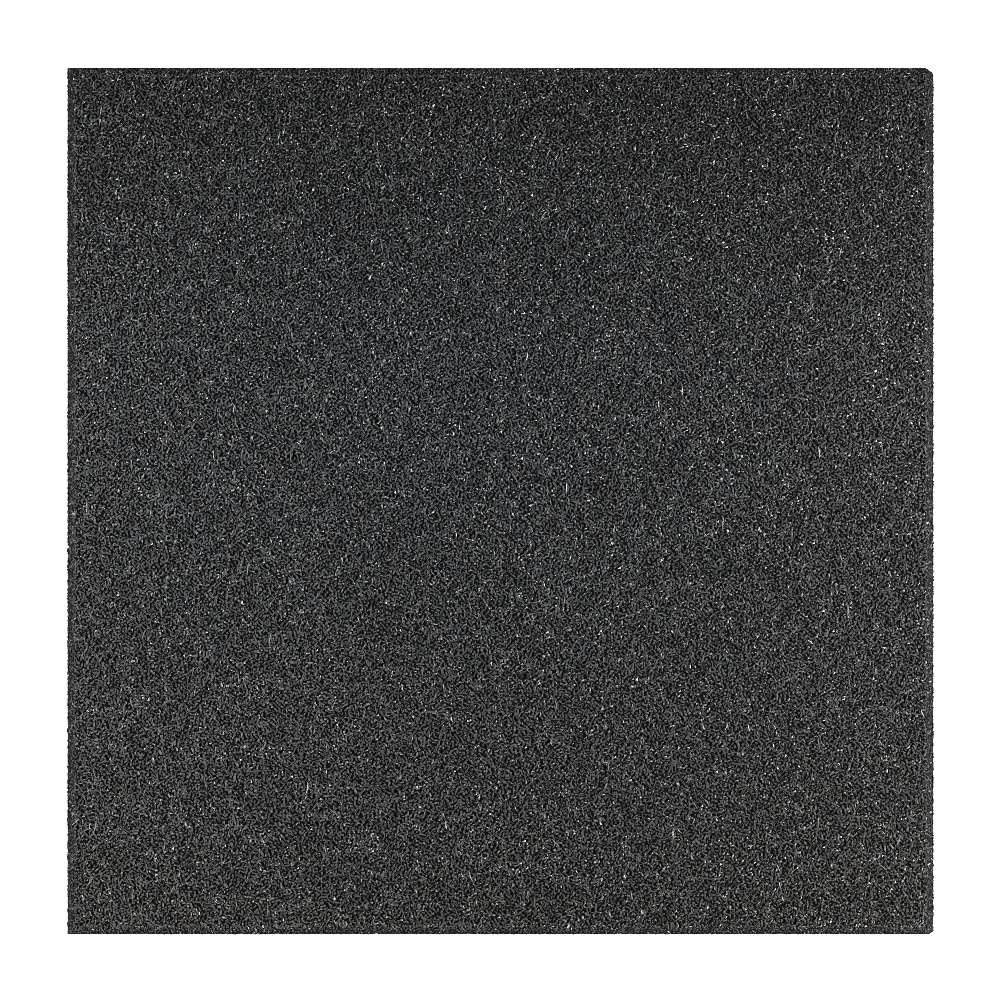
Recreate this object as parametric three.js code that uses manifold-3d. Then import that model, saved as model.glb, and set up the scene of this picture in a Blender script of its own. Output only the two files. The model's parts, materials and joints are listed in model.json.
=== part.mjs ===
// Rubber safety tile: one square slab of bound crumb rubber, moulded in one piece and laid loose,
// edge to edge with its neighbours. Its top edges are bevelled, its underside stands on square feet
// between drainage channels, and the two corners at its right-hand side are knocked off.
//
// Millimetres, +Z up. The origin is the middle of the underside, on the middle foot.
// +X points to the tile's right and +Y to its back, as it is seen from above.

import * as THREE from "three";
import { mergeVertices } from "three/addons/utils/BufferGeometryUtils.js";
import Module from "manifold-3d";

// Driving dimensions
const TILE_LENGTH = 500; // along X
const TILE_WIDTH = 500; // along Y
const TILE_THICKNESS = 25;

const BEVEL_WIDTH = 5; // the bevel's width, seen from above
const BEVEL_DEPTH = 4; // how far the bevel comes down the side

const CHANNEL_WIDTH = 12; // at its mouth, in the plane of the underside
const CHANNEL_DEPTH = 6;
const CHANNEL_DRAFT = 1.5; // how far each wall leans in, so that the tile leaves its mould
const CHANNEL_PITCH = 50;
const LEAST_EDGE_FOOT = 10; // a channel keeps at least this much foot between itself and the tile's side

const BACK_CORNER_LOSS = { alongX: 4.7, alongY: 3.8 }; // knocked off the back right corner
const FRONT_CORNER_LOSS = { alongX: 2.6, alongY: 2.1 }; // knocked off the front right corner

const RUBBER_COLOUR = 0x3a3b3c;
const RUBBER_ROUGHNESS = 0.75;

const CUT_OVERRUN = 10; // how far a cutting solid runs past what it cuts

const wasm = await Module();
wasm.setup();

// Turns a closed three.js geometry into a solid that can be joined and cut.
function solidFrom(geometry) {
  const plain = geometry.index ? geometry.toNonIndexed() : geometry.clone();
  plain.deleteAttribute("normal");
  plain.deleteAttribute("uv");
  const merged = mergeVertices(plain);
  return new wasm.Manifold(
    new wasm.Mesh({
      numProp: 3,
      vertProperties: merged.attributes.position.array,
      triVerts: new Uint32Array(merged.index.array),
    }),
  );
}

// Turns a solid back into a geometry with flat-shaded faces.
function geometryFrom(solid) {
  const mesh = solid.getMesh();
  const positions = new Float32Array(mesh.numVert * 3);
  for (let i = 0; i < mesh.numVert; i++) {
    const start = i * mesh.numProp;
    positions.set(mesh.vertProperties.subarray(start, start + 3), i * 3);
  }
  const indexed = new THREE.BufferGeometry()
    .setAttribute("position", new THREE.BufferAttribute(positions, 3))
    .setIndex(new THREE.BufferAttribute(mesh.triVerts, 1));
  const geometry = indexed.toNonIndexed();
  geometry.computeVertexNormals();
  return geometry;
}

// Where the channels' centre lines cross a tile of this span. They lie in pairs about the middle,
// half a pitch out and then a pitch apart, so that a foot is left at the middle.
function channelCentres(span) {
  const furthest = span / 2 - LEAST_EDGE_FOOT - CHANNEL_WIDTH / 2;
  const centres = [];
  for (let out = CHANNEL_PITCH / 2; out <= furthest; out += CHANNEL_PITCH) {
    centres.push(-out, out);
  }
  return centres.sort((a, b) => a - b);
}

// The tile's upright section across one span: channels cut into the bottom, bevels at both top edges.
function sectionShape(span) {
  const side = span / 2;
  const shape = new THREE.Shape();
  shape.moveTo(-side, 0);
  for (const centre of channelCentres(span)) {
    const mouth = CHANNEL_WIDTH / 2;
    const roof = mouth - CHANNEL_DRAFT;
    shape.lineTo(centre - mouth, 0);
    shape.lineTo(centre - roof, CHANNEL_DEPTH);
    shape.lineTo(centre + roof, CHANNEL_DEPTH);
    shape.lineTo(centre + mouth, 0);
  }
  shape.lineTo(side, 0);
  shape.lineTo(side, TILE_THICKNESS - BEVEL_DEPTH);
  shape.lineTo(side - BEVEL_WIDTH, TILE_THICKNESS);
  shape.lineTo(-side + BEVEL_WIDTH, TILE_THICKNESS);
  shape.lineTo(-side, TILE_THICKNESS - BEVEL_DEPTH);
  shape.closePath();
  return shape;
}

// A bar with the tile's section across `span`, standing on z = 0 and running along Y past `run`.
function sectionBar(span, run) {
  const depth = run + 2 * CUT_OVERRUN;
  const bar = new THREE.ExtrudeGeometry(sectionShape(span), { depth, bevelEnabled: false });
  return bar.rotateX(Math.PI / 2).translate(0, depth / 2, 0);
}

// The upright wedge that is missing at one right-hand corner. `towardsBack` is 1 for the back
// corner and -1 for the front one. The cut is a plane through a point on each of the two sides.
function cornerWedge(loss, towardsBack) {
  const slope = loss.alongY / loss.alongX;
  const cornerX = TILE_LENGTH / 2;
  const cornerY = TILE_WIDTH / 2;
  const startX = cornerX - loss.alongX - CUT_OVERRUN;
  const endX = cornerX + CUT_OVERRUN;
  const cutY = (x) => cornerY - (x - (cornerX - loss.alongX)) * slope;
  const wedge = new THREE.Shape();
  wedge.moveTo(startX, cutY(startX));
  wedge.lineTo(endX, cutY(endX));
  wedge.lineTo(endX, cutY(startX));
  wedge.closePath();
  const height = TILE_THICKNESS + 2 * CUT_OVERRUN;
  const geometry = new THREE.ExtrudeGeometry(wedge, { depth: height, bevelEnabled: false });
  geometry.translate(0, 0, -CUT_OVERRUN);
  // A half turn about X carries the back wedge to the front with its faces still outwards.
  if (towardsBack < 0) geometry.rotateX(Math.PI).translate(0, 0, TILE_THICKNESS);
  return geometry;
}

// The whole tile. Two bars cross at a right angle, and what they share has the bevels and the
// channels of both.
function tileSolid() {
  const acrossX = solidFrom(sectionBar(TILE_LENGTH, TILE_WIDTH));
  const acrossY = solidFrom(sectionBar(TILE_WIDTH, TILE_LENGTH).rotateZ(Math.PI / 2));
  return acrossX
    .intersect(acrossY)
    .subtract(solidFrom(cornerWedge(BACK_CORNER_LOSS, 1)))
    .subtract(solidFrom(cornerWedge(FRONT_CORNER_LOSS, -1)));
}

const crumbRubber = new THREE.MeshStandardMaterial({
  color: RUBBER_COLOUR,
  roughness: RUBBER_ROUGHNESS,
  metalness: 0,
});

const tile = new THREE.Mesh(geometryFrom(tileSolid()), crumbRubber);
tile.name = "tile";

const safetyTile = new THREE.Group();
safetyTile.add(tile);

export default safetyTile;
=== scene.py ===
"""The rubber safety tile, dressed: pressed crumb rubber on every face, seen from above on white.

Places are in metres, in the tile's own frame: the origin is the middle of the underside, +Z is up,
+X is the tile's right and +Y its back. Sizes of crumb are in millimetres.
"""

import json
import logging
import math
import random
from dataclasses import dataclass
from enum import Enum
from typing import Any, Optional, Union

import bmesh
import bpy
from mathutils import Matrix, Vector

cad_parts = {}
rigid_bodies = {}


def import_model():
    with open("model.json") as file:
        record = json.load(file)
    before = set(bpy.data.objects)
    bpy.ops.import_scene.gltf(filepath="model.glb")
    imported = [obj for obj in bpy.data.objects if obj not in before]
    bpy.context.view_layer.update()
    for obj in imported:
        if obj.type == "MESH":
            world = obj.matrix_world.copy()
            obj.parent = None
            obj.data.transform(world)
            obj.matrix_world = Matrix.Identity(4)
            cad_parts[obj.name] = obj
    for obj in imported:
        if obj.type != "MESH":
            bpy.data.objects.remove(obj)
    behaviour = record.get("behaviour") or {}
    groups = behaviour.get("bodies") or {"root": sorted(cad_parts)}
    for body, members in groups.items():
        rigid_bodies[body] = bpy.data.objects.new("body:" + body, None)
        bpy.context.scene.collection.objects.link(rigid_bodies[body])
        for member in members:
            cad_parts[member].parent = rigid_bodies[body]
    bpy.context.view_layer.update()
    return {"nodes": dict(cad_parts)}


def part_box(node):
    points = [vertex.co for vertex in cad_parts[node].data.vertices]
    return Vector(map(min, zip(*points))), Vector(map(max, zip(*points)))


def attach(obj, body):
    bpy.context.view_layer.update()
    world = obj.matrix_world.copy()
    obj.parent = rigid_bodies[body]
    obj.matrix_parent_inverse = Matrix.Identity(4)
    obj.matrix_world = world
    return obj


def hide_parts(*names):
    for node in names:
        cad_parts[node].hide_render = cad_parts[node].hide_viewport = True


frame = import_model()

MM = 0.001
WHITE = (1.0, 1.0, 1.0)
TOP_RISE = 0.5  # how much the normals of the top and the bevel rise, at the least
SIDE_RISE = -0.1  # how much the sides' normals rise, at the least
NODE = "tile"
BODY = "root"
BAKE_MAP = "OFBake"

log = logging.getLogger("tile")

Operand = Union["Reading", float, int, tuple[float, float, float]]
Colour = tuple[float, float, float]


class Reading:
    """What comes out of a node, so that sums on nodes read as plain arithmetic."""

    def __init__(self, bench: "NodeBench", socket: bpy.types.NodeSocket) -> None:
        """Keeps the socket and the bench that adds nodes to its tree."""
        self.bench = bench
        self.socket = socket

    def also(self, output: str) -> "Reading":
        """Reads another output of the same node."""
        return Reading(self.bench, self.bench.find(self.socket.node.outputs, output))

    def _sum(self, operation: str, first: Operand, second: Operand) -> "Reading":
        """Adds the node for one operation.

        Args:
            operation: the name that Math and Vector Math nodes share for it.
            first: the left operand.
            second: the right operand.

        Returns:
            The result, which is a vector if either operand is one.
        """
        vectors = any(isinstance(o, Reading) and o.socket.type == "VECTOR" for o in (first, second))
        kind = "ShaderNodeVectorMath" if vectors else "ShaderNodeMath"
        return self.bench.node(kind, {"operation": operation}, {0: first, 1: second})

    def __add__(self, other: Operand) -> "Reading":
        """This plus the other."""
        return self._sum("ADD", self, other)

    def __radd__(self, other: Operand) -> "Reading":
        """The other plus this."""
        return self._sum("ADD", other, self)

    def __sub__(self, other: Operand) -> "Reading":
        """This less the other."""
        return self._sum("SUBTRACT", self, other)

    def __rsub__(self, other: Operand) -> "Reading":
        """The other less this."""
        return self._sum("SUBTRACT", other, self)

    def __mul__(self, other: Operand) -> "Reading":
        """This times the other."""
        return self._sum("MULTIPLY", self, other)

    def __rmul__(self, other: Operand) -> "Reading":
        """The other times this."""
        return self._sum("MULTIPLY", other, self)

    def __truediv__(self, other: Operand) -> "Reading":
        """This divided by the other."""
        return self._sum("DIVIDE", self, other)

    def __pow__(self, other: Operand) -> "Reading":
        """This raised to the other."""
        return self._sum("POWER", self, other)

    def __gt__(self, other: Operand) -> "Reading":
        """1 where this is above the other, and 0 elsewhere."""
        return self._sum("GREATER_THAN", self, other)

    def __mod__(self, other: Operand) -> "Reading":
        """What is left of this after whole multiples of the other."""
        return self._sum("MODULO", self, other)

    def least(self, other: Operand) -> "Reading":
        """The smaller of this and the other."""
        return self._sum("MINIMUM", self, other)

    def most(self, other: Operand) -> "Reading":
        """The larger of this and the other."""
        return self._sum("MAXIMUM", self, other)

    def floor(self) -> "Reading":
        """The whole number at or below this."""
        return self.bench.node("ShaderNodeMath", {"operation": "FLOOR"}, {0: self})

    def ceil(self) -> "Reading":
        """The whole number at or above this."""
        return self.bench.node("ShaderNodeMath", {"operation": "CEIL"}, {0: self})

    def dot(self, other: "Reading") -> "Reading":
        """How far this vector reaches along the other."""
        return self.bench.node("ShaderNodeVectorMath", {"operation": "DOT_PRODUCT"}, {0: self, 1: other})

    def part(self, axis: str) -> "Reading":
        """This vector's part along one axis, from a node that gives the others too."""
        return self.bench.node("ShaderNodeSeparateXYZ", {}, {0: self}, axis)


class NodeBench:
    """Adds nodes to one tree, whether a material, the world or a modifier uses it."""

    def __init__(self, tree: bpy.types.NodeTree) -> None:
        """Keeps the tree."""
        self.tree = tree

    @staticmethod
    def find(sockets: bpy.types.bpy_prop_collection, key: Union[str, int]) -> bpy.types.NodeSocket:
        """Finds a socket among those that the node's settings leave in use.

        Args:
            sockets: the node's inputs, or its outputs.
            key: the socket's name, or its number among those in use.

        Returns:
            The socket.
        """
        shown = [socket for socket in sockets if socket.enabled]
        if isinstance(key, int):
            return shown[key]
        return next(socket for socket in shown if socket.name == key)

    def node(
        self,
        kind: str,
        settings: Optional[dict[str, Any]] = None,
        inputs: Optional[dict[Union[str, int], Any]] = None,
        output: Union[str, int] = 0,
    ) -> Reading:
        """Makes any node.

        Args:
            kind: the node's type.
            settings: its properties, set first. "stops" are a colour ramp's places and colours.
            inputs: what goes into its sockets: a Reading is linked, and anything else is set.
            output: the output to read.

        Returns:
            That output.
        """
        node = self.tree.nodes.new(kind)
        for name, value in (settings or {}).items():
            if name == "stops":
                self._set_stops(node.color_ramp, value)
            else:
                setattr(node, name, value)
        for key, value in (inputs or {}).items():
            socket = self.find(node.inputs, key)
            if isinstance(value, Reading):
                self.tree.links.new(value.socket, socket)
            elif socket.type == "VECTOR" and isinstance(value, (int, float)):
                socket.default_value = (value, value, value)
            elif socket.type == "RGBA" and len(value) == 3:
                socket.default_value = (*value, 1.0)
            else:
                socket.default_value = value
        return Reading(self, self.find(node.outputs, output))

    def end(self, kind: str, **results: Reading) -> None:
        """Adds the tree's output node.

        Args:
            kind: the node's type.
            results: what is linked to each of its sockets.
        """
        node = self.tree.nodes.new(kind)
        for name, result in results.items():
            self.tree.links.new(result.socket, node.inputs[name])

    @staticmethod
    def _set_stops(ramp: bpy.types.ColorRamp, stops: list[tuple[float, Colour]]) -> None:
        """Gives a colour ramp its stops.

        Args:
            ramp: the ramp.
            stops: each stop's place and colour, in order.
        """
        while len(ramp.elements) < len(stops):
            ramp.elements.new(1.0)
        for element, (place, colour) in zip(ramp.elements, stops):
            element.position = place
            element.color = (*colour, 1.0)


@dataclass(frozen=True)
class RubberFinish:
    """Black tyre rubber in a thin film of binder, with what its crumbs and its core have in common."""

    name: str
    dark: float = 0.0173  # the least that a crumb's top reflects
    light: float = 0.0468  # the most, but for the pale flecks
    cool: Colour = (0.855, 1.0, 1.13)
    warm: Colour = (1.095, 1.0, 0.87)
    cool_middle: tuple[float, float, float] = (-0.05, 0.085, 0.0)  # where the tile is coolest
    stretch: tuple[float, float, float] = (0.77, 1.0, 0.0)  # how fast it warms along each axis
    reach: float = 0.45  # metres from the coolest place to the warmest
    patch: float = 0.014  # metres from one small cool or warm patch to the next
    patch_share: float = 1.1  # how strong the small patches are
    layer: float = 0.55  # how strong each finer layer of noise is, beside the one before
    smooth: float = 0.24  # roughness where the binder is thick
    rough: float = 0.55  # roughness of the bare rubber

    def _start(self) -> tuple[bpy.types.Material, NodeBench, Reading]:
        """Makes the empty material.

        Returns:
            The material, its bench and the place on the tile that each point has.
        """
        material = bpy.data.materials.new(self.name)
        material.use_nodes = True
        material.node_tree.nodes.clear()
        bench = NodeBench(material.node_tree)
        place = bench.node("ShaderNodeTexCoord", output="Object")
        return material, bench, place

    def _noise(self, bench: NodeBench, place: Reading, spacing: float, detail: float = 2.0) -> Reading:
        """Makes smooth noise.

        Args:
            bench: the material's bench.
            place: the place that it is read at.
            spacing: metres from one swell to the next.
            detail: how many times finer noise is added.

        Returns:
            The noise, about 0.5 on average.
        """
        inputs = {"Vector": place, "Scale": 1.0 / spacing, "Detail": detail, "Roughness": self.layer}
        return bench.node("ShaderNodeTexNoise", {}, inputs)

    def _toned(self, tone: Reading) -> Reading:
        """How much light a crumb of this tone, from 0 to 1, reflects."""
        return self.dark + (self.light - self.dark) * tone

    def _tinted(
        self, bench: NodeBench, place: Reading, brightness: Reading, own: Operand = 0.0
    ) -> Reading:
        """Colours a brightness: its cast drifts from cool to warm over the tile, with small cool and warm
        patches.

        Args:
            bench: the material's bench.
            place: the place on the tile.
            brightness: the brightness.
            own: how much warmer the crumb is than its place.

        Returns:
            The colour.
        """
        away = (place - self.cool_middle) * self.stretch
        drift = away.dot(away) ** 0.5 / self.reach
        drift = drift + (self._noise(bench, place, self.patch) - 0.5) * self.patch_share + own
        stops = {"stops": [(0.0, self.cool), (1.0, self.warm)]}
        cast = bench.node("ShaderNodeValToRGB", stops, {0: drift})
        settings = {"data_type": "RGBA", "blend_type": "MULTIPLY"}
        grey = bench.node("ShaderNodeCombineColor", {}, {0: brightness, 1: brightness, 2: brightness})
        return bench.node("ShaderNodeMix", settings, {"Factor": 1.0, "A": cast, "B": grey})


@dataclass(frozen=True)
class CrumbFinish(RubberFinish):
    """The crumbs' finish: each has its own tone, its own cast and its own share of binder, under painted
    shade and light.
    """

    name: str = "pressed_crumb"
    flank: float = 0.1  # painted shade: how much of its top's brightness a crumb keeps down its flanks
    plateau: float = 10.0  # above 1, the painted shade falls only near the outline
    shaded_sides: float = 0.42  # painted shade: how bright the bevel, sides, underside and outline are, beside the flat top
    shine: float = 0.30
    fleck: Colour = (0.15, 0.146, 0.14)
    fleck_share: float = 0.0008
    painted_shade_start: float = 0.085  # metres behind the middle, where the painted shade towards the back starts
    painted_back_shade: float = 2.7  # painted shade: the share of brightness that is lost with each metre from there
    painted_dim_line: float = 0.05  # metres to the right of the middle, where the painted light is weakest
    painted_side_light: float = 3.6  # painted light: the share of brightness that is gained with each square metre from there
    own_cast: float = 0.5  # how much one crumb's cast may differ from another's
    cast_turns: float = 37.0  # how often the casts come round as the tone goes from 0 to 1
    grit: float = 0.00045  # metres from bump to bump
    grit_height: float = 0.00005
    grit_layers: float = 3.0  # how many times finer grit is added

    def build(self) -> bpy.types.Material:
        """Makes the material.

        Returns:
            The material, whose colour, gloss and bumps differ from crumb to crumb, with painted shade and
            light over the colour.
        """
        material, bench, place = self._start()
        tone, gloss, crown, wear = (
            bench.node("ShaderNodeAttribute", {"attribute_name": name}, output="Fac")
            for name in ("tone", "gloss", "crown", "wear")
        )
        # painted shade: each crumb darkens down its flanks to its outline, where the pits between crumbs
        # lie in shadow
        painted_shading = self.flank + (1.0 - self.flank) * (crown * self.plateau).least(1.0)
        # painted shade: darker on the bevel, the sides, the underside and along the tile's outline, most
        # at the front and the back
        painted_shading = painted_shading * (self.shaded_sides + (1.0 - self.shaded_sides) * wear)
        # painted light: brighter towards the tile's left and right
        across = place.part("X")
        aside = across - self.painted_dim_line
        painted_shading = painted_shading * (1.0 + self.painted_side_light * (aside * aside))
        # painted shade: darker towards the back of the tile
        painted_shading = painted_shading * (1.0 - self.painted_back_shade * (across.also("Y") - self.painted_shade_start).most(0.0))
        own = ((tone * self.cast_turns) % 1.0 - 0.5) * self.own_cast
        colour = self._tinted(bench, place, self._toned(tone) * painted_shading, own)
        flecks = tone > (1.0 - self.fleck_share)
        inputs = {"Factor": flecks, "A": colour, "B": self.fleck}
        colour = bench.node("ShaderNodeMix", {"data_type": "RGBA"}, inputs)
        grit = self._noise(bench, place, self.grit, self.grit_layers)
        bump = {"Strength": 1.0, "Distance": self.grit_height, "Height": grit}
        inputs = {
            "Base Color": colour,
            "Roughness": self.smooth + (self.rough - self.smooth) * gloss,
            "Specular IOR Level": self.shine,
            "Normal": bench.node("ShaderNodeBump", {}, bump),
        }
        bench.end("ShaderNodeOutputMaterial", Surface=bench.node("ShaderNodeBsdfPrincipled", {}, inputs))
        return material


@dataclass(frozen=True)
class CoreFinish(RubberFinish):
    """The core's finish, seen in the pits between the crumbs: the crumbs below, as bump. The same rubber,
    painted near black as painted shade in the pits.
    """

    name: str = "packed_core_pit_shade"
    # painted shade: far darker than any crumb, so that the pits read black
    dark: float = 0.0005
    light: float = 0.003
    grain: float = 0.0019  # metres from one buried crumb to the next
    grain_height: float = 0.0006
    matt: float = 0.9
    shine: float = 0.15

    def build(self) -> bpy.types.Material:
        """Makes the material.

        Returns:
            The material, whose colour, gloss and bumps differ from crumb to crumb.
        """
        material, bench, place = self._start()
        inputs = {"Vector": place, "Scale": 1.0 / self.grain, "Randomness": 1.0}
        cells = bench.node("ShaderNodeTexVoronoi", {"feature": "F1"}, inputs, "Distance")
        tone = bench.node("ShaderNodeSeparateColor", {}, {0: cells.also("Color")})
        bump = {"Strength": 1.0, "Distance": self.grain_height, "Height": 1.0 - cells}
        inputs = {
            "Base Color": self._tinted(bench, place, self._toned(tone)),
            "Roughness": self.matt,
            "Specular IOR Level": self.shine,
            "Normal": bench.node("ShaderNodeBump", {}, bump),
        }
        bench.end("ShaderNodeOutputMaterial", Surface=bench.node("ShaderNodeBsdfPrincipled", {}, inputs))
        return material


class Region(Enum):
    """The faces of the tile that are covered with crumb together."""

    TOP_LEFT = "top left"
    TOP_RIGHT = "top right"
    TOP = "top"
    SIDES = "sides"
    UNDERSIDE = "underside"

    def holds(self, face: bmesh.types.BMFace) -> bool:
        """Tells whether a face is one of the region's: the top takes the bevel in.

        Args:
            face: a face of the CAD tile, all on one side of its middle.

        Returns:
            True if the region has the face.
        """
        rise = face.normal.z
        if self is Region.UNDERSIDE:
            return rise < SIDE_RISE
        if self is Region.SIDES:
            return SIDE_RISE <= rise < TOP_RISE
        aside = face.calc_center_median().x
        return rise >= TOP_RISE and (self is Region.TOP or (aside < 0.0) == (self is Region.TOP_LEFT))


class Cut(Enum):
    """How crumbs were torn from the tyre, which gives their outline from above."""

    CHIP = "chip"
    BIT = "bit"
    SHRED = "shred"


@dataclass(frozen=True)
class CrumbPattern:
    """A closed crumb, one unit long, wide and thick: a ragged outline that rises to one ridge point."""

    cut: Cut
    raggedness: float = 0.13  # how far a corner strays, as a share of the crumb's size
    ridge_stray: float = 2.0  # how much further the ridge point may stray along the crumb
    bend: float = 0.5  # how far a shred's middle lies to one side, in widths
    end: float = 0.3  # half a shred's width at its ends, in widths
    gap: float = 0.08  # what is left free round each face on the bake map

    def _corners(self) -> list[tuple[float, float]]:
        """Gives the outline's corners.

        Returns:
            Each corner's place along and across the crumb, anticlockwise.
        """
        if self.cut is Cut.CHIP:
            return [(-0.5, -0.45), (0.45, -0.5), (0.5, 0.45), (-0.45, 0.5)]
        if self.cut is Cut.BIT:
            return [(-0.5, -0.4), (0.5, -0.3), (0.0, 0.5)]
        end, bow = self.end, self.bend
        return [(-0.5, -end), (0.0, bow - 0.5), (0.5, -end), (0.5, end), (0.0, bow + 0.5), (-0.5, end)]

    def mesh(self, name: str, draw: random.Random, finish: bpy.types.Material) -> bpy.types.Mesh:
        """Makes one crumb.

        Args:
            name: the mesh's name.
            draw: where its raggedness comes from.
            finish: its material.

        Returns:
            A closed mesh with its faces outwards and a place for each face on the bake map.
        """

        def stray() -> float:
            """How far one corner strays along one axis."""
            return draw.uniform(-self.raggedness, self.raggedness)

        shape = bmesh.new()
        crown = shape.verts.layers.float.new("crown")
        rim = [shape.verts.new((x + stray(), y + stray(), -0.5 + stray())) for x, y in self._corners()]
        bow = self.bend if self.cut is Cut.SHRED else 0.0
        ridge = shape.verts.new((self.ridge_stray * stray(), bow + stray(), 0.5))
        ridge[crown] = 1.0
        for here, after in zip(rim, rim[1:] + rim[:1]):
            shape.faces.new((here, after, ridge))
        shape.faces.new(list(reversed(rim)))
        bmesh.ops.triangulate(shape, faces=shape.faces[:])
        self._lay_out(shape)
        mesh = bpy.data.meshes.new(name)
        shape.to_mesh(mesh)
        shape.free()
        mesh.materials.append(finish)
        return mesh

    def _lay_out(self, shape: bmesh.types.BMesh) -> None:
        """Lays the faces out on the bake map, two triangles to a square.

        Args:
            shape: the crumb, all of triangles.
        """
        layer = shape.loops.layers.uv.new(BAKE_MAP)
        columns = math.ceil(math.sqrt(len(shape.faces) / 2))
        near, far = self.gap, 1.0 - 2.0 * self.gap
        for number, face in enumerate(shape.faces):
            row, column = divmod(number // 2, columns)
            for loop, (u, v) in zip(face.loops, ((near, near), (far, near), (near, far))):
                across, up = (u, v) if number % 2 == 0 else (1.0 - u, 1.0 - v)
                loop[layer].uv = ((column + across) / columns, (row + up) / columns)


@dataclass(frozen=True)
class Grade:
    """One size of crumb on one region. Its lengths are in millimetres."""

    name: str
    region: Region
    cut: Cut
    density: float  # crumbs laid on a square metre, before those too close to another are taken away
    spacing: float  # the least distance from one crumb's middle to the next
    least_size: tuple[float, float, float]  # the smallest crumb's length, width and thickness
    most_size: tuple[float, float, float]
    sink: float  # how far the crumbs' middles lie under the surface
    tilt: float = 14.0  # degrees, either way
    roughen: float = 0.12  # how far each corner is moved by itself
    slack: float = 0.25  # how far behind the mould's walls a crumb may stay
    seed: int = 1


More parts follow.
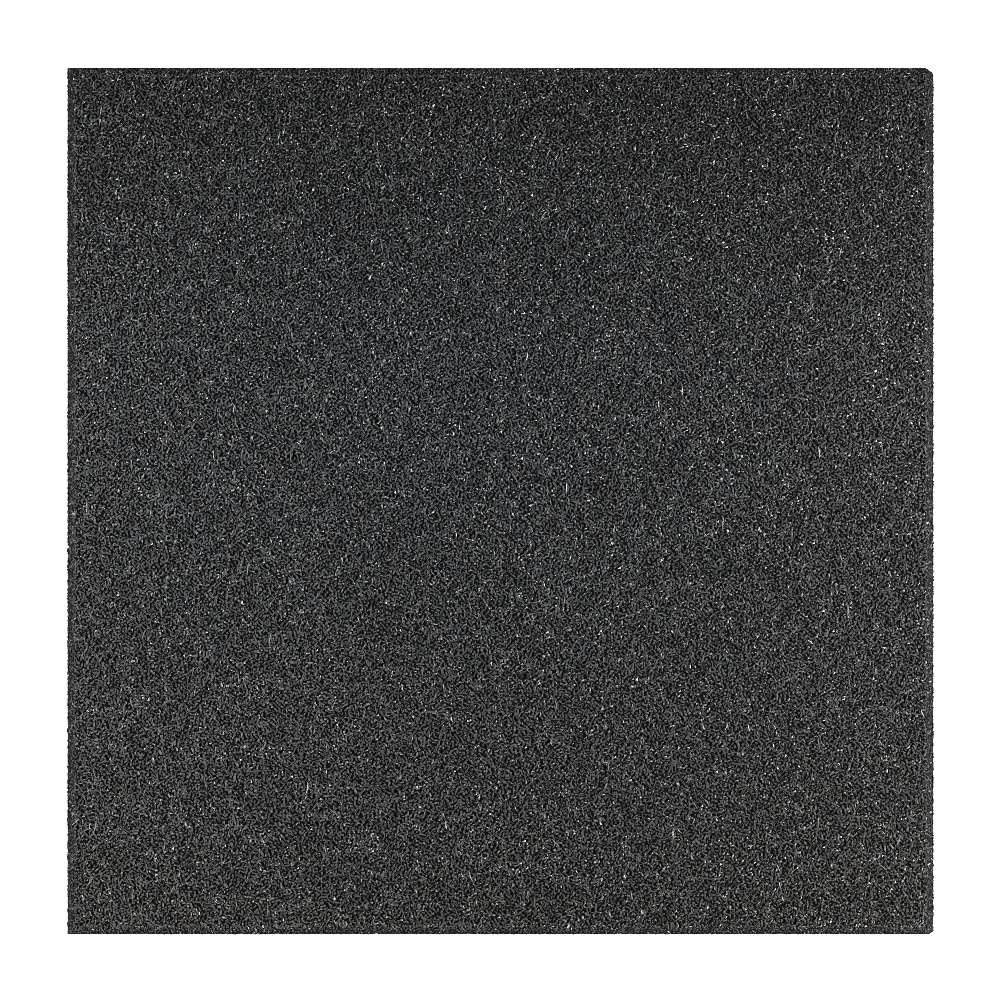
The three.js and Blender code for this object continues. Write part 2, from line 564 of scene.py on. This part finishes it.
class CrumbPress:
    """The tree that lays crumb on a region and presses it back behind the mould's walls."""

    EDGE_FADE = 1.7 * MM  # the band along the outline that is painted darker, as painted shade
    END_FADE = 0.55 * MM  # how much wider that painted shade band is at the front and the back
    BEVEL_WIDTH = 5.0 * MM  # the CAD tile's own bevel
    BEVEL_DEPTH = 4.0 * MM
    SINK_SHARES = (-1.25, -0.75)  # how far a crumb may be moved out along its normal, in sinks
    SEED_STEP = 37  # more than the tree's draws, so that no two grades share a draw
    LAST_PICK = 97  # far above the patterns' number, and the picks go round them
    SCAFFOLD = ("upright", "anchor", "facing", "slack", "cell")  # notes that only the press needs
    SOCKETS = {
        "Region": "NodeSocketGeometry",
        "Patterns": "NodeSocketCollection",
        "Density": "NodeSocketFloat",
        "Spacing": "NodeSocketFloat",
        "Least Size": "NodeSocketVector",
        "Most Size": "NodeSocketVector",
        "Sink": "NodeSocketFloat",
        "Tilt": "NodeSocketFloat",
        "Roughen": "NodeSocketFloat",
        "Slack": "NodeSocketFloat",
        "Low Wall": "NodeSocketVector",
        "High Wall": "NodeSocketVector",
        "Seed": "NodeSocketInt",
        "Finish": "NodeSocketMaterial",
    }

    def __init__(self) -> None:
        """Builds the tree."""
        self.tree = bpy.data.node_groups.new("crumb press", "GeometryNodeTree")
        for name, kind in self.SOCKETS.items():
            self.tree.interface.new_socket(name, in_out="INPUT", socket_type=kind)
        self.tree.interface.new_socket("Crumb", in_out="OUTPUT", socket_type="NodeSocketGeometry")
        self.bench = NodeBench(self.tree)
        self.draws = 0
        points = self._lay()
        crumbs = self._press(self._turn_to_crumbs(points))
        crumbs = self._map(crumbs, points)
        for name in self.SCAFFOLD:
            inputs = {"Geometry": crumbs, "Name": name}
            crumbs = self.bench.node("GeometryNodeRemoveAttribute", {}, inputs)
        inputs = {"Geometry": crumbs, "Material": self._given("Finish")}
        self.bench.end("NodeGroupOutput", Crumb=self.bench.node("GeometryNodeSetMaterial", {}, inputs))

    def identifiers(self) -> dict[str, str]:
        """Gives the identifier of each of the tree's inputs, by name."""
        items = self.tree.interface.items_tree
        return {item.name: item.identifier for item in items if item.in_out == "INPUT"}

    def _given(self, name: str) -> Reading:
        """Reads one of the tree's inputs."""
        return self.bench.node("NodeGroupInput", output=name)

    def _index(self) -> Reading:
        """Numbers the points."""
        return self.bench.node("GeometryNodeInputIndex")

    def _place(self) -> Reading:
        """Reads where the points are."""
        return self.bench.node("GeometryNodeInputPosition")

    def _draw(self, low: float = 0.0, high: float = 1.0, kind: str = "FLOAT") -> Reading:
        """Draws a random value for each point, unlike every other draw in the tree.

        Args:
            low: the least it may be.
            high: the most it may be.
            kind: its data type.

        Returns:
            The value.
        """
        self.draws += 1
        seed = self._given("Seed") * self.SEED_STEP + self.draws
        inputs = {"Min": low, "Max": high, "ID": self._index(), "Seed": seed}
        return self.bench.node("FunctionNodeRandomValue", {"data_type": kind}, inputs)

    def _note(
        self, geometry: Reading, name: str, value: Reading, kind: str, domain: str = "POINT"
    ) -> Reading:
        """Writes a value on the geometry.

        Args:
            geometry: what it is written on.
            name: what it is called.
            value: the value.
            kind: its data type.
            domain: what has a value each.

        Returns:
            The geometry with the value on it.
        """
        settings = {"data_type": kind, "domain": domain}
        inputs = {"Geometry": geometry, "Name": name, "Value": value}
        return self.bench.node("GeometryNodeStoreNamedAttribute", settings, inputs)

    def _noted(self, name: str, kind: str = "FLOAT_VECTOR") -> Reading:
        """Reads a value that was written on the geometry."""
        return self.bench.node("GeometryNodeInputNamedAttribute", {"data_type": kind}, {"Name": name})

    def _lay(self) -> Reading:
        """Spreads points over the region and notes on each what its crumb needs later.

        Returns:
            The points, sunk under the surface.
        """
        inputs = {
            "Mesh": self._given("Region"),
            "Distance Min": self._given("Spacing"),
            "Density Max": self._given("Density"),
            "Seed": self._given("Seed"),
        }
        settings = {"distribute_method": "POISSON"}
        points = self.bench.node("GeometryNodeDistributePointsOnFaces", settings, inputs)
        normal, upright = points.also("Normal"), points.also("Rotation")
        points = self._note(points, "upright", upright, "QUATERNION")
        points = self._note(points, "facing", normal, "FLOAT_VECTOR")
        points = self._note(points, "anchor", self._place(), "FLOAT_VECTOR")
        points = self._note(points, "slack", self._draw() * self._given("Slack"), "FLOAT")
        points = self._note(points, "cell", self._index(), "INT")
        points = self._note(points, "tone", self._draw(), "FLOAT")
        points = self._note(points, "gloss", self._draw(), "FLOAT")
        points = self._note(points, "wear", self._edge_shade(), "FLOAT")
        sunk = self._noted("facing") * (self._given("Sink") * self._draw(*self.SINK_SHARES))
        return self.bench.node("GeometryNodeSetPosition", {}, {"Geometry": points, "Offset": sunk})

    def _edge_shade(self) -> Reading:
        """How brightly a place is painted: painted shade darkens the bevel, the sides and the outline.

        Returns:
            1 on the flat top, less on the bevel, least along the tile's outline, and next to nothing on
            the sides and underneath.
        """
        upward = self._noted("facing").part("Z").most(0.0)
        aside = self._room(self._place())
        nearest = aside.least(aside.also("Y") - self.END_FADE)
        return upward * upward * (nearest / self.EDGE_FADE).least(1.0)

    def _room(self, place: Reading) -> Reading:
        """How far a place lies inside the nearer of the mould's two walls along X, and also along Y."""
        room = (place - self._given("Low Wall")).least(self._given("High Wall") - place)
        return room.part("X")

    def _under_bevel(self, place: Reading) -> Reading:
        """Lowers a place that sticks out of the bevel.

        Args:
            place: the place.

        Returns:
            The place, no higher than the bevel or the flat top is there.
        """
        aside = self._room(place)
        drop = self.BEVEL_DEPTH - aside.least(aside.also("Y")) * (self.BEVEL_DEPTH / self.BEVEL_WIDTH)
        highest = self._given("High Wall").part("Z") - drop.most(0.0)
        across = place.part("X")
        inputs = {"X": across, "Y": across.also("Y"), "Z": across.also("Z").least(highest)}
        return self.bench.node("ShaderNodeCombineXYZ", {}, inputs)

    def _turn_to_crumbs(self, points: Reading) -> Reading:
        """Puts a crumb of its own size, spin and tilt on each point.

        Args:
            points: the points.

        Returns:
            The crumbs, as one mesh.
        """
        lean = self._given("Tilt")
        inputs = {
            "X": self._draw(-1.0) * lean,
            "Y": self._draw(-1.0) * lean,
            "Z": self._draw(high=math.tau),
        }
        turn = self.bench.node("ShaderNodeCombineXYZ", {}, inputs)
        inputs = {
            "Rotation": self._noted("upright", "QUATERNION"),
            "Rotate By": self.bench.node("FunctionNodeEulerToRotation", {}, {"Euler": turn}),
        }
        rotation = self.bench.node("FunctionNodeRotateRotation", {"rotation_space": "LOCAL"}, inputs)
        least, most = self._given("Least Size"), self._given("Most Size")
        share = self._draw(kind="FLOAT_VECTOR")
        inputs = {
            "Collection": self._given("Patterns"),
            "Separate Children": True,
            "Reset Children": True,
        }
        inputs = {
            "Points": points,
            "Instance": self.bench.node("GeometryNodeCollectionInfo", {}, inputs),
            "Pick Instance": True,
            "Instance Index": self._draw(0, self.LAST_PICK, "INT"),
            "Rotation": rotation,
            "Scale": least + (most - least) * (share * share),
        }
        crumbs = self.bench.node("GeometryNodeInstanceOnPoints", {}, inputs)
        return self.bench.node("GeometryNodeRealizeInstances", {}, {"Geometry": crumbs})

    def _press(self, crumbs: Reading) -> Reading:
        """Roughens the crumbs, and presses them back behind their own face and the mould's walls.

        Args:
            crumbs: the crumbs.

        Returns:
            The crumbs, pressed.
        """
        stray = self._draw(-1.0, 1.0, "FLOAT_VECTOR") * self._given("Roughen")
        crumbs = self.bench.node("GeometryNodeSetPosition", {}, {"Geometry": crumbs, "Offset": stray})
        facing, slack = self._noted("facing"), self._noted("slack", "FLOAT")
        proud = (self._place() - self._noted("anchor")).dot(facing) + slack
        pressed = self._place() - facing * proud.most(0.0)
        walled = pressed.most(self._given("Low Wall") + slack).least(self._given("High Wall") - slack)
        inputs = {"Geometry": crumbs, "Position": self._under_bevel(walled)}
        return self.bench.node("GeometryNodeSetPosition", {}, inputs)

    def _map(self, crumbs: Reading, points: Reading) -> Reading:
        """Gives each crumb its own cell of the bake map.

        Args:
            crumbs: the crumbs.
            points: the points that they were put on.

        Returns:
            The crumbs, with their places on the map.
        """
        settings = {"component": "POINTCLOUD"}
        count = self.bench.node("GeometryNodeAttributeDomainSize", settings, {"Geometry": points})
        columns = (count ** 0.5).ceil()
        cell = self._noted("cell", "INT")
        inputs = {"X": cell % columns, "Y": (cell / columns).floor()}
        corner = self.bench.node("ShaderNodeCombineXYZ", {}, inputs)
        place = (corner + self._noted(BAKE_MAP)) / columns
        return self._note(crumbs, BAKE_MAP, place, "FLOAT2", "CORNER")


class TileCore:
    """What lies behind the crumb: the CAD tile, shrunk least at its rim and most from above."""

    RIM_DEPTH = 0.15 * MM  # how far the top half is moved in
    FOOT_DEPTH = 0.6 * MM  # how far the bevel's foot is lowered
    TOP_DEPTH = 1.4 * MM  # how far the flat top is lowered
    UNDER_DEPTH = 0.8 * MM  # how far everything in the lower half is moved in
    FOOT_LEVEL = 1.0 * MM  # the bevel's foot is further than this below the top
    MERGE_GAP = 0.01 * MM

    @staticmethod
    def merged() -> bmesh.types.BMesh:
        """Copies the CAD tile.

        Returns:
            Its loose triangles, merged into one skin.
        """
        shape = bmesh.new()
        shape.from_mesh(frame["nodes"][NODE].data)
        bmesh.ops.remove_doubles(shape, verts=shape.verts, dist=TileCore.MERGE_GAP)
        shape.normal_update()
        return shape

    def build(self, finish: CoreFinish) -> bpy.types.Object:
        """Makes the core.

        Args:
            finish: its finish.

        Returns:
            The core.
        """
        shape = self.merged()
        outward = [(v, v.normal * v.calc_shell_factor()) for v in shape.verts]
        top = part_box(NODE)[1].z
        for vertex, step in outward:
            if vertex.co.z > top / 2:
                lowered = self.TOP_DEPTH if vertex.co.z > top - self.FOOT_LEVEL else self.FOOT_DEPTH
                vertex.co -= step * self.RIM_DEPTH
                vertex.co.z -= lowered
            else:
                vertex.co -= step * self.UNDER_DEPTH
        mesh = bpy.data.meshes.new("tile_core")
        shape.to_mesh(mesh)
        shape.free()
        mesh.materials.append(finish.build())
        piece = bpy.data.objects.new("tile_core", mesh)
        bpy.context.scene.collection.objects.link(piece)
        return piece


class CrumbCoat:
    """The crumb on the tile's faces, in several grades."""

    VARIANTS = 7

    GRADES = (
        Grade(
            "top_crumb_left", Region.TOP_LEFT, Cut.CHIP, density=4e6, spacing=1.52,
            least_size=(1.6, 0.9, 0.8), most_size=(3.0, 1.5, 1.25), sink=0.45, seed=11,
        ),
        Grade(
            "top_crumb_right", Region.TOP_RIGHT, Cut.CHIP, density=4e6, spacing=1.52,
            least_size=(1.6, 0.9, 0.8), most_size=(3.0, 1.5, 1.25), sink=0.45, seed=12,
        ),
        Grade(
            "top_deep_crumb", Region.TOP, Cut.BIT, density=200_000, spacing=0.8,
            least_size=(1.4, 0.8, 0.6), most_size=(2.8, 1.3, 1.0), sink=0.9, seed=13,
        ),
        Grade(
            "top_fine_crumb", Region.TOP, Cut.BIT, density=150_000, spacing=0.8,
            least_size=(1.0, 0.6, 0.5), most_size=(2.2, 1.1, 0.9), sink=0.4, seed=14,
        ),
        Grade(
            "top_shreds", Region.TOP, Cut.SHRED, density=17_000, spacing=1.0,
            least_size=(2.8, 0.6, 0.5), most_size=(8.5, 1.0, 0.9), sink=0.3, tilt=6.0, seed=15,
        ),
        Grade(
            "side_crumb", Region.SIDES, Cut.CHIP, density=2e6, spacing=1.1,
            least_size=(1.5, 1.0, 0.6), most_size=(3.0, 1.7, 1.0), sink=-0.05, slack=0.05, seed=16,
        ),
        Grade(
            "underside_crumb", Region.UNDERSIDE, Cut.CHIP, density=120_000, spacing=2.0,
            least_size=(2.6, 1.8, 0.8), most_size=(5.2, 3.2, 1.2), sink=0.4, seed=17,
        ),
    )

    def __init__(self, press: CrumbPress, finish: bpy.types.Material) -> None:
        """Keeps the press and the finish, and cuts the patterns.

        Args:
            press: the tree that lays and presses crumb.
            finish: the crumbs' material.
        """
        self.press = press
        self.finish = finish
        self.patterns = {cut: self._cut(cut) for cut in Cut}

    def _cut(self, cut: Cut) -> bpy.types.Collection:
        """Makes the ragged variants of one cut.

        Args:
            cut: the cut.

        Returns:
            The variants, in a collection that the scene doesn't show.
        """
        draw = random.Random(cut.value)
        tray = bpy.data.collections.new(f"{cut.value} patterns")
        for number in range(self.VARIANTS):
            name = f"{cut.value}_{number}"
            tray.objects.link(bpy.data.objects.new(name, CrumbPattern(cut).mesh(name, draw, self.finish)))
        return tray

    @staticmethod
    def _region(region: Region) -> bpy.types.Mesh:
        """Cuts one region's faces out of the CAD tile.

        Args:
            region: the region.

        Returns:
            Its faces, split along the tile's middle.
        """
        shape = TileCore.merged()
        parts = shape.verts[:] + shape.edges[:] + shape.faces[:]
        bmesh.ops.bisect_plane(shape, geom=parts, plane_co=(0.0, 0.0, 0.0), plane_no=(1.0, 0.0, 0.0))
        others = [face for face in shape.faces if not region.holds(face)]
        bmesh.ops.delete(shape, geom=others, context="FACES")
        mesh = bpy.data.meshes.new(region.value)
        shape.to_mesh(mesh)
        shape.free()
        return mesh

    def build(self, grade: Grade) -> bpy.types.Object:
        """Lays and presses one grade.

        Args:
            grade: which crumb, and where.

        Returns:
            The crumbs as one plain mesh.
        """
        low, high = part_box(NODE)
        values = {
            "Patterns": self.patterns[grade.cut],
            "Density": float(grade.density),
            "Spacing": grade.spacing * MM,
            "Least Size": [size * MM for size in grade.least_size],
            "Most Size": [size * MM for size in grade.most_size],
            "Sink": grade.sink * MM,
            "Tilt": math.radians(grade.tilt),
            "Roughen": grade.roughen * MM,
            "Slack": grade.slack * MM,
            "Low Wall": list(low),
            "High Wall": list(high),
            "Seed": grade.seed,
            "Finish": self.finish,
        }
        host = bpy.data.objects.new("host", self._region(grade.region))
        bpy.context.scene.collection.objects.link(host)
        modifier = host.modifiers.new("press", "NODES")
        modifier.node_group = self.press.tree
        identifiers = self.press.identifiers()
        for name, value in values.items():
            modifier[identifiers[name]] = value
        graph = bpy.context.evaluated_depsgraph_get()
        laid = host.evaluated_get(graph)
        mesh = bpy.data.meshes.new_from_object(laid, preserve_all_data_layers=True, depsgraph=graph)
        mesh.name = grade.name
        bpy.data.objects.remove(host)
        piece = bpy.data.objects.new(grade.name, mesh)
        bpy.context.scene.collection.objects.link(piece)
        return piece

    def clear_away(self) -> None:
        """Removes the patterns and the press once the crumb is laid."""
        for tray in self.patterns.values():
            for pattern in list(tray.objects):
                bpy.data.objects.remove(pattern)
            bpy.data.collections.remove(tray)
        bpy.data.node_groups.remove(self.press.tree)


@dataclass(frozen=True)
class Softbox:
    """A soft studio light that faces the tile."""

    name: str
    place: tuple[float, float, float]
    size: tuple[float, float]
    power: float

    def build(self, target: Vector) -> None:
        """Adds the light to the scene.

        Args:
            target: the place that it faces.
        """
        light = bpy.data.lights.new(self.name, "AREA")
        light.shape = "RECTANGLE"
        light.size, light.size_y = self.size
        light.energy = self.power
        lamp = bpy.data.objects.new(self.name, light)
        lamp.location = self.place
        lamp.rotation_euler = (target - lamp.location).to_track_quat("-Z", "Y").to_euler()
        bpy.context.scene.collection.objects.link(lamp)


@dataclass(frozen=True)
class Studio:
    """The white floor, the pale wall round it, the lights and the camera above the tile."""

    image: float = 1000.0  # the photograph's width and height, in pixels
    left: float = 67.8  # where the tile's sides are in the photograph, in pixels
    right: float = 933.2
    top: float = 67.9
    bottom: float = 934.3
    rim_height: float = 0.021  # the tile is widest below its bevel
    rim_loss: float = 0.0003  # how far inside the CAD outline the crumb's outline lies, on average
    filter_width: float = 0.7
    lens: float = 100.0
    sensor: float = 36.0
    matt: float = 0.9
    floor_radius: float = 8.0
    floor_sides: int = 64
    floor_white: float = 0.8
    floor_glow: float = 0.7  # the floor is a light table, so that the tile throws hardly any shadow
    floor_drop: float = 0.05 * MM
    wall_height: float = 4.0
    wall_glow: float = 0.72
    sky: float = 0.04
    lights: tuple[Softbox, ...] = (
        Softbox("front softbox", (0.0, -1.5, 0.7), (0.5, 0.6), 12.0),
        Softbox("back softbox", (0.0, 1.5, 0.7), (0.5, 0.6), 8.0),
        Softbox("left softbox", (-1.3, 0.0, 0.6), (0.45, 0.6), 44.0),
        Softbox("right softbox", (1.3, 0.0, 0.6), (0.45, 0.6), 74.0),
    )

    def build(self) -> None:
        """Puts the whole studio up."""
        low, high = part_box(NODE)
        self._floor()
        self._backdrop()
        self._sky()
        for light in self.lights:
            light.build((low + high) / 2)
        self._camera(high.x - low.x - 2 * self.rim_loss)
        bpy.context.scene.view_settings.view_transform = "Standard"
        bpy.context.scene.cycles.use_denoising = False
        bpy.context.scene.cycles.filter_width = self.filter_width

    def _glowing(self, name: str, white: float, glow: float) -> bpy.types.Material:
        """Makes a matt white that glows a little, and isn't sought out as a lamp.

        Args:
            name: the material's name.
            white: how much of the light it reflects.
            glow: how bright it is by itself.

        Returns:
            The material.
        """
        material = bpy.data.materials.new(name)
        material.cycles.emission_sampling = "NONE"
        material.use_nodes = True
        material.node_tree.nodes.clear()
        bench = NodeBench(material.node_tree)
        inputs = {
            "Base Color": (white, white, white),
            "Roughness": self.matt,
            "Emission Color": WHITE,
            "Emission Strength": glow,
        }
        bench.end("ShaderNodeOutputMaterial", Surface=bench.node("ShaderNodeBsdfPrincipled", {}, inputs))
        return material

    def _set_up(
        self, name: str, shape: bmesh.types.BMesh, material: bpy.types.Material
    ) -> bpy.types.Object:
        """Puts a shape on the stage.

        Args:
            name: its name.
            shape: the shape, which is used up.
            material: its material.

        Returns:
            The object.
        """
        mesh = bpy.data.meshes.new(name)
        shape.to_mesh(mesh)
        shape.free()
        mesh.materials.append(material)
        piece = bpy.data.objects.new(name, mesh)
        piece.location.z = -self.floor_drop
        bpy.context.scene.collection.objects.link(piece)
        return piece

    def _floor(self) -> None:
        """Lays a round white floor, a hair under the tile's feet."""
        shape = bmesh.new()
        bmesh.ops.create_circle(
            shape, cap_ends=True, segments=self.floor_sides, radius=self.floor_radius
        )
        self._set_up("floor", shape, self._glowing("floor_white", self.floor_white, self.floor_glow))

    def _backdrop(self) -> None:
        """Stands a pale wall round the floor, which only a low view sees and which lights nothing."""
        shape = bmesh.new()
        sizes = {"radius1": self.floor_radius, "radius2": self.floor_radius, "depth": self.wall_height}
        bmesh.ops.create_cone(shape, cap_ends=False, segments=self.floor_sides, **sizes)
        bmesh.ops.translate(shape, verts=shape.verts, vec=(0.0, 0.0, self.wall_height / 2))
        wall = self._set_up("backdrop", shape, self._glowing("wall_white", 0.0, self.wall_glow))
        wall.visible_diffuse = False
        wall.visible_glossy = False

    def _sky(self) -> None:
        """Gives the room an even, dim light from all round."""
        world = bpy.data.worlds.new("studio")
        world.use_nodes = True
        world.node_tree.nodes.clear()
        bench = NodeBench(world.node_tree)
        inputs = {"Color": WHITE, "Strength": self.sky}
        bench.end("ShaderNodeOutputWorld", Surface=bench.node("ShaderNodeBackground", {}, inputs))
        bpy.context.scene.world = world

    def _camera(self, width: float) -> None:
        """Hangs the camera straight above, so that the tile fills the frame as in the photograph.

        Args:
            width: how wide the tile's outline is, in metres.
        """
        pixel = 2 * width / (self.right - self.left + self.bottom - self.top)
        data = bpy.data.cameras.new("camera")
        data.lens = self.lens
        data.sensor_width = self.sensor
        camera = bpy.data.objects.new("camera", data)
        across = (self.image - self.left - self.right) / 2 * pixel
        down = (self.top + self.bottom - self.image) / 2 * pixel
        camera.location = (across, down, self.rim_height + self.image * pixel * self.lens / self.sensor)
        bpy.context.scene.collection.objects.link(camera)
        bpy.context.scene.camera = camera


def dress(piece: bpy.types.Object) -> None:
    """Fastens a piece to the tile's body, in place of the CAD tile.

    Args:
        piece: the piece.
    """
    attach(piece, BODY)
    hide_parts(NODE)
    log.info("%s: %d faces", piece.name, len(piece.data.polygons))


def main() -> None:
    """Builds the tile's pieces and the studio."""
    logging.basicConfig(level=logging.INFO, format="%(name)s: %(message)s")
    dress(TileCore().build(CoreFinish()))
    coat = CrumbCoat(CrumbPress(), CrumbFinish().build())
    for grade in coat.GRADES:
        dress(coat.build(grade))
    coat.clear_away()
    Studio().build()


if __name__ == "__main__":
    main()
